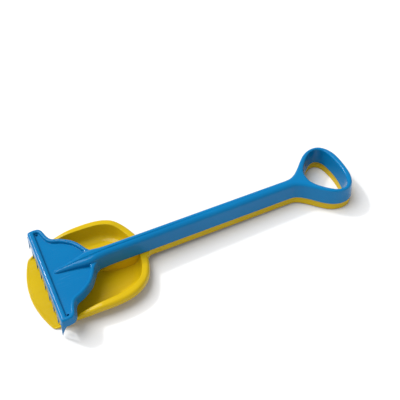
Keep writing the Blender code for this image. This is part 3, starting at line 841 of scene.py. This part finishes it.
@dataclass
class ToothComb:
    """Row of pointed teeth under the bar, made by one Geometry Nodes tree."""

    count: int = 9
    half_span: float = 79.2
    tip_z: float = 3.4
    root_z: float = 33.5
    tip_thick: float = 1.5
    root_thick: float = 4.2
    front: tuple[tuple[float, float], ...] = (
        (0.0, -2.75), (0.10, -3.0), (0.36, -2.44), (0.56, -2.04), (0.73, -1.74), (0.85, -1.49), (1.0, -1.1))
    back: tuple[tuple[float, float], ...] = (
        (0.0, -2.45), (0.10, -2.0), (0.36, 0.9), (0.56, 3.6), (0.73, 7.6), (0.85, 12.0), (1.0, 12.8))
    span: tuple[float, float] = (-4.0, 13.0)     # the reach of both profile curves

    def _profile(self, g: Graph, up: Wire, shape: Sequence[tuple[float, float]]) -> Wire:
        """Read a front or back profile at a share of the tooth's height.

        Args:
            g: the graph.
            up: 0 at the tip and 1 at the root.
            shape: (share, x) pairs.

        Returns:
            x in metres.
        """
        low, high = self.span
        line = [(t, (x - low) / (high - low)) for t, x in shape]
        read = g.wire("ShaderNodeFloatCurve", 0, {"curve": line}, {"Value": up})
        return read * ((high - low) * MM) + low * MM

    def tree(self) -> bpy.types.NodeTree:
        """Build the tree that shapes one tooth and sets out the row.

        Returns:
            The Geometry Nodes group.
        """
        tree = bpy.data.node_groups.new("tooth_comb", "GeometryNodeTree")
        face = tree.interface
        face.new_socket("Geometry", in_out="OUTPUT", socket_type="NodeSocketGeometry")
        face.new_socket("Teeth", in_out="INPUT", socket_type="NodeSocketInt")
        for name in ("Origin", "Half Span", "Tip Height", "Root Height", "Tip Thickness", "Root Thickness"):
            face.new_socket(name, in_out="INPUT", socket_type="NodeSocketFloat")
        face.new_socket("Plastic", in_out="INPUT", socket_type="NodeSocketMaterial")
        g = Graph(tree)
        given = {s.name: Wire(g, s) for s in g.node("NodeGroupInput").outputs if s.name}
        rod = g.wire("GeometryNodeMeshCylinder", "Mesh", {"fill_type": "NGON"}, {
            "Vertices": 24, "Side Segments": 36, "Radius": 1.0, "Depth": 1.0})
        at = g.node("ShaderNodeSeparateXYZ", None, {0: g.wire("GeometryNodeInputPosition")})
        across, aside, up = Wire(g, at.outputs[0]), Wire(g, at.outputs[1]), Wire(g, at.outputs[2]) + 0.5
        squared = [axis.sign() * (abs(axis) ** 0.62) for axis in (across, aside)]
        front, back = self._profile(g, up, self.front), self._profile(g, up, self.back)
        thick = given["Tip Thickness"] + (given["Root Thickness"] - given["Tip Thickness"]) * up
        blunt = g.math("MINIMUM", up * 22.0 + 0.22, 1.0) ** 0.5
        x = (front + back) * 0.5 + (back - front) * 0.5 * squared[0] * blunt + given["Origin"]
        y = thick * 0.5 * squared[1] * blunt
        z = given["Tip Height"] + (given["Root Height"] - given["Tip Height"]) * up
        tooth = g.wire("GeometryNodeSetPosition", 0, None, {
            "Geometry": rod, "Position": g.wire("ShaderNodeCombineXYZ", 0, None, {0: x, 1: y, 2: z})})
        pitch = given["Half Span"] * 2.0 / (given["Teeth"] - 1.0)
        row = g.wire("GeometryNodeMeshLine", 0, {"mode": "OFFSET"}, {
            "Count": given["Teeth"],
            "Start Location": g.wire("ShaderNodeCombineXYZ", 0, None, {1: given["Half Span"] * -1.0}),
            "Offset": g.wire("ShaderNodeCombineXYZ", 0, None, {1: pitch})})
        set_out = g.wire("GeometryNodeInstanceOnPoints", 0, None, {"Points": row, "Instance": tooth})
        real = g.wire("GeometryNodeRealizeInstances", 0, None, {"Geometry": set_out})
        dressed = g.wire("GeometryNodeSetMaterial", 0, None, {"Geometry": real, "Material": given["Plastic"]})
        g.node("NodeGroupOutput", None, {0: dressed})
        return tree

    def build(self, bench: Bench, material: bpy.types.Material) -> bpy.types.Object:
        """Run the tree and keep its result as a plain mesh.

        Args:
            bench: the workbench, for the origin.
            material: the rake's plastic.

        Returns:
            One object with all the teeth.
        """
        obj = bpy.data.objects.new("tooth_comb", bpy.data.meshes.new("tooth_comb"))
        bench.shelf.objects.link(obj)
        mod = obj.modifiers.new("comb", "NODES")
        tree = self.tree()
        mod.node_group = tree
        sizes = {"Teeth": self.count, "Origin": bench.origin_x, "Half Span": self.half_span * MM,
                 "Tip Height": self.tip_z * MM, "Root Height": self.root_z * MM,
                 "Tip Thickness": self.tip_thick * MM, "Root Thickness": self.root_thick * MM,
                 "Plastic": material}
        for item in tree.interface.items_tree:
            if item.in_out == "INPUT":
                mod[item.identifier] = sizes[item.name]
        bench.settle(obj)
        return obj


@dataclass
class Rake:
    """The upper moulding: head, teeth and handle in one."""

    finish: MouldedPlastic
    lift: float
    head: RakeHead = field(default_factory=RakeHead)
    comb: ToothComb = field(default_factory=ToothComb)

    def handle(self) -> ChannelHandle:
        """The handle, whose nose lies on the panel."""
        head = self.head
        shape = ((0.0, 0.14, 0.07), (0.012, 0.27, 0.15), (0.035, 0.38, 0.23), (0.08, 0.47, 0.31),
                 (0.17, 0.56, 0.385), (0.29, 0.67, 0.475), (0.43, 0.82, 0.60), (0.57, 0.94, 0.73),
                 (0.73, 1.0, 0.86), (1.0, 1.0, 1.0))
        nose = Nose(start=15.0, full=head.neck_x, base=head.panel_z, shape=shape, low=head.panel_z - 3.0,
                    low_until=head.neck_x - 16.0, low_from=head.neck_x + 7.0)
        return ChannelHandle(nose=nose, lift=self.lift)

    def build(self, bench: Bench) -> None:
        """Build and dress the rake's two pieces."""
        head, handle = self.head, self.handle()
        plastic = self.finish.material()
        body = head.dished(bench, lambda x: handle.crown(x) - handle.shaft_depth)
        bench.combine(body, handle.outer(bench), Cut.ADD)
        head.hollow(bench, body)
        start = handle.nose.start + 16.0

        def low(x: float) -> float:
            """Foot of the core: just under the panel in front, clear of the edge behind."""
            t = ease(x, head.neck_x - 18.0, head.neck_x + 2.0)
            return head.panel_z - 9.0 + (handle.crown(x) - handle.shaft_depth - 3.0 - head.panel_z + 9.0) * t

        bench.combine(body, handle.cavity(bench, start, low), Cut.TAKE)
        teeth = self.comb.build(bench, plastic)
        piece = bench.release(body, "rake_moulding", Tool.RAKE, self.finish, plastic)
        comb = bench.release(teeth, "rake_teeth", Tool.RAKE, self.finish, plastic)
        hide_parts("rake_head", "rake_shaft", "rake_grip")
        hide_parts("rake_head")


# ------------------------ scoop
@dataclass
class ScoopBowl:
    """Flat-floored bowl with a rolled lip that runs out into a thin front edge."""

    front_x: float = -26.5
    corner_x: float = -10.0
    rear_x: float = 152.0
    front_half: float = 63.5
    blade_half: float = 75.0
    floor: float = 2.2
    wall: float = 2.0
    side_z: float = 26.5
    rear_z: float = 20.6
    lip: float = 11.0
    skirt: float = 9.5
    fillet: float = 12.0
    draft: float = math.radians(8.0)

    def plan(self, steps: int = 8) -> Outline:
        """Plan of the lip's outer edge."""
        f, c, h, w, r = self.front_x, self.corner_x, self.front_half, self.blade_half, self.rear_x
        front = [(f, 0.0), (f + 0.04 * (c - f), 0.20 * h), (f + 0.17 * (c - f), 0.42 * h),
                 (f + 0.39 * (c - f), 0.64 * h), (f + 0.66 * (c - f), 0.84 * h),
                 (f + 0.83 * (c - f), 0.94 * h), (c, h), (c + 4.5, 1.03 * h)]
        rest = [(c + 16.0, 0.905 * w), (0.20 * r, 0.940 * w), (0.36 * r, 0.982 * w), (0.50 * r, w),
                (0.60 * r, 0.992 * w), (0.69 * r, 0.965 * w), (0.775 * r, 0.905 * w), (0.85 * r, 0.805 * w),
                (0.91 * r, 0.665 * w), (0.955 * r, 0.49 * w), (0.985 * r, 0.30 * w), (r, 0.0)]
        half = front + rest
        return Outline(smooth_line(half + [(x, -y) for x, y in half[-2:0:-1]], steps)).anticlockwise()

    def section(self, x: float) -> np.ndarray:
        """Wall section where the lip's outer edge is at x.

        Args:
            x: the place along the scoop.

        Returns:
            Rows of (outward, up), from the inner floor over the lip to the outer floor.
        """
        r, c = self.rear_x, self.corner_x
        crest = self.side_z + (self.rear_z - self.side_z) * ease(x, 0.80 * r, 0.97 * r)
        h = 0.15 + (crest - self.floor - 0.15) * (0.35 * ease(x, c - 2.0, 0.12 * r)
                                                + 0.65 * ease(x, c - 6.0, 0.42 * r))
        w = 3.0 + (self.lip - 3.0) * ease(x, 0.02 * r, 0.55 * r)
        d = min(1.4 + (self.skirt - 1.4) * ease(x, c, 0.30 * r), h + self.floor * 0.4)
        t = 0.6 + (self.wall - 0.6) * ease(x, c - 4.0, 0.20 * r)
        fil = 2.0 + (self.fillet - 2.0) * ease(x, c - 4.0, 0.30 * r)
        ri, ro = min(0.35 * t + 0.45, 0.8 * h), min(0.55 * w, 0.75 * d)
        run = max(h - fil, 0.0) * math.tan(math.radians(14))
        reach, top, flat = w + run + fil, self.floor + h, (d - ro) * math.tan(self.draft)
        inner = [(-reach, self.floor), (-(reach - 0.55 * fil), self.floor + min(0.14 * fil, 0.3 * h)),
                 (-(reach - 0.86 * fil), self.floor + min(0.48 * fil, 0.6 * h)),
                 (-(w + 0.1 * run), top - ri - 0.06 * h), (-w + 0.3 * ri, top - 0.3 * ri), (-w + ri, top)]
        roll = [(-ro, top - 0.02 * ro), (-0.62 * ro, top - 0.08 * ro), (-0.29 * ro, top - 0.29 * ro),
                (-0.08 * ro, top - 0.62 * ro), (0.0, top - ro)]
        outer = [(-max(ro * 0.55, t), top - max(1.1 * t, 0.2)), (-w + t, top - max(1.1 * t, 0.2)),
                 (-(w + run) - 0.35 * fil + t, min(0.45 * fil, 0.5 * self.floor + 0.3 * h)),
                 (-(reach - 0.25 * fil), 0.0)]
        return np.concatenate([smooth_line(inner, 4, closed=False), smooth_line(roll, 3, closed=False),
                               [(flat, top - d), (flat - t, top - d)], smooth_line(outer, 3, closed=False)])

    def build(self, bench: Bench) -> bpy.types.Object:
        """Loft the bowl."""
        outline = self.plan()
        nrm = outline.normals()
        sections = [self.section(p[0]) for p in outline.points]
        rings = []
        for k in range(len(sections[0])):
            rings.append(np.array([(p[0] + n[0] * s[k][0], p[1] + n[1] * s[k][0], s[k][1])
                                   for p, n, s in zip(outline.points, nrm, sections)]))
        return bench.loft("bowl", rings)

    def gusset(self, bench: Bench) -> bpy.types.Object:
        """Flare between the lip and the shaft."""
        r = self.rear_x
        flare = smooth_line([(r - 5.0, 20.0), (r - 1.0, 16.0), (r + 3.0, 12.9), (r + 7.0, 11.3),
                             (r + 12.0, 10.6)], 3, closed=False)
        half = [(r - 9.0, 0.0), (r - 9.0, 22.0)] + [tuple(p) for p in flare] + [(r + 12.0, 0.0)]
        return bench.drafted("gusset", Outline.mirrored(half), lambda x: self.rear_z - 0.15,
                             lambda x: self.rear_z - 0.15 - self.skirt, lambda x: 1.1, self.draft,
                             arc=4, rows=1)


@dataclass
class Scoop:
    """The lower moulding: bowl and handle in one."""

    finish: MouldedPlastic
    bowl: ScoopBowl = field(default_factory=ScoopBowl)

    def handle(self) -> ChannelHandle:
        """The handle, whose nose climbs from the bowl's floor."""
        shape = ((0.0, 0.18, 0.03), (0.14, 0.40, 0.17), (0.40, 0.72, 0.45), (0.72, 0.93, 0.77),
                 (1.0, 1.0, 1.0))
        nose = Nose(start=80.0, full=118.0, base=self.bowl.floor, shape=shape, low=0.7, low_until=128.0,
                    low_from=150.0)
        return ChannelHandle(nose=nose)

    def build(self, bench: Bench) -> None:
        """Build and dress the scoop."""
        bowl, handle = self.bowl, self.handle()
        body = bowl.build(bench)
        bench.combine(body, bowl.gusset(bench), Cut.ADD)
        bench.combine(body, handle.outer(bench), Cut.ADD)

        def low(x: float) -> float:
            """Foot of the core: through the floor in front, clear of the edge behind."""
            return -3.0 + (handle.crown(x) - handle.shaft_depth + 1.0) * ease(x, 132.0, 137.0)

        bench.combine(body, handle.cavity(bench, handle.nose.start + 10.0, low), Cut.TAKE)
        piece = bench.release(body, "scoop_moulding", Tool.SCOOP, self.finish, self.finish.material())
        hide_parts("scoop_bowl", "scoop_shaft", "scoop_grip")


# ------------------------ studio
@dataclass
class Studio:
    """Paper floor, a broad key lamp, a small sparkle lamp, soft fill and the camera."""

    floor_half: float = 4.0
    key_power: float = 2.2
    key_spread: float = math.radians(45.0)
    key_from: tuple[float, float, float] = (-0.50, 0.42, 1.2)
    spark_power: float = 0.9
    spark_spread: float = math.radians(4.0)
    spark_from: tuple[float, float, float] = (-0.42, 0.56, 0.71)
    sky: Colour = (0.46, 0.464, 0.472)
    lens: float = 61.85
    camera_at: tuple[float, float, float] = (-0.25727, -0.55892, 0.86514)
    looks_along: tuple[float, float, float] = (0.26430, 0.56001, -0.78520)

    def build(self) -> None:
        """Set up floor, lights and camera."""
        self._floor()
        self._lights()
        self._camera()
        bpy.context.scene.view_settings.view_transform = "Standard"

    def _floor(self) -> None:
        """Lay the paper."""
        s = self.floor_half
        mesh = bpy.data.meshes.new("paper_floor")
        mesh.from_pydata([(-s, -s, 0), (s, -s, 0), (s, s, 0), (-s, s, 0)], [], [(0, 1, 2, 3)])
        floor = bpy.data.objects.new("paper_floor", mesh)
        mesh.materials.append(PaperSweep().material())
        bpy.context.scene.collection.objects.link(floor)

    def _lights(self) -> None:
        """Hang the two lamps and set the fill."""
        self._sun("key_lamp", self.key_power, self.key_spread, self.key_from)
        self._sun("sparkle_lamp", self.spark_power, self.spark_spread, self.spark_from)
        world = bpy.data.worlds.new("studio")
        world.use_nodes = True
        world.node_tree.nodes["Background"].inputs["Color"].default_value = (*self.sky, 1.0)
        bpy.context.scene.world = world

    @staticmethod
    def _sun(name: str, power: float, spread: float, shines_from: tuple[float, float, float]) -> None:
        """Hang one distant lamp.

        Args:
            name: the lamp's name.
            power: its strength.
            spread: the angle that it fills, which sets how soft its shadows are.
            shines_from: the direction towards it.
        """
        lamp = bpy.data.lights.new(name, "SUN")
        lamp.energy = power
        lamp.angle = spread
        hung = bpy.data.objects.new(name, lamp)
        hung.rotation_mode = "QUATERNION"
        hung.rotation_quaternion = (-Vector(shines_from)).to_track_quat("-Z", "Y")
        bpy.context.scene.collection.objects.link(hung)

    def _camera(self) -> None:
        """Place the camera."""
        lens = bpy.data.cameras.new("camera")
        lens.lens = self.lens
        lens.sensor_width = 36.0
        lens.clip_start, lens.clip_end = 0.02, 50.0
        camera = bpy.data.objects.new("camera", lens)
        camera.location = self.camera_at
        camera.rotation_mode = "QUATERNION"
        camera.rotation_quaternion = Vector(self.looks_along).to_track_quat("-Z", "Y")
        bpy.context.scene.collection.objects.link(camera)
        bpy.context.scene.camera = camera


YELLOW = MouldedPlastic("scoop_plastic_yellow", "scoop_plastic", body=(0.66, 0.455, 0.006),
                        flow=(0.61, 0.41, 0.005), rubbed=(0.76, 0.58, 0.10))
BLUE = MouldedPlastic("rake_plastic_blue", "rake_plastic", body=(0.0, 0.185, 0.44),
                      flow=(0.0, 0.165, 0.405), rubbed=(0.06, 0.33, 0.60))


def main() -> None:
    """Build every piece in order."""
    logging.basicConfig(level=logging.INFO, format="%(name)s: %(message)s")
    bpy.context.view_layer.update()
    scoop = Scoop(YELLOW)
    shaft = scoop.handle()
    skirt = (shaft.shaft_depth - shaft.cad_round) * math.tan(shaft.draft)
    grip_end = Vector(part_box("scoop_grip")[1]).x
    bench = Bench(grip_end - (shaft.end_x + skirt) * MM)
    scoop.build(bench)
    Rake(BLUE, lift=(shaft.wall + FIT_GAP) / math.sin(shaft.draft)).build(bench)
    bench.clear()
    Studio().build()


if __name__ == "__main__":
    main()
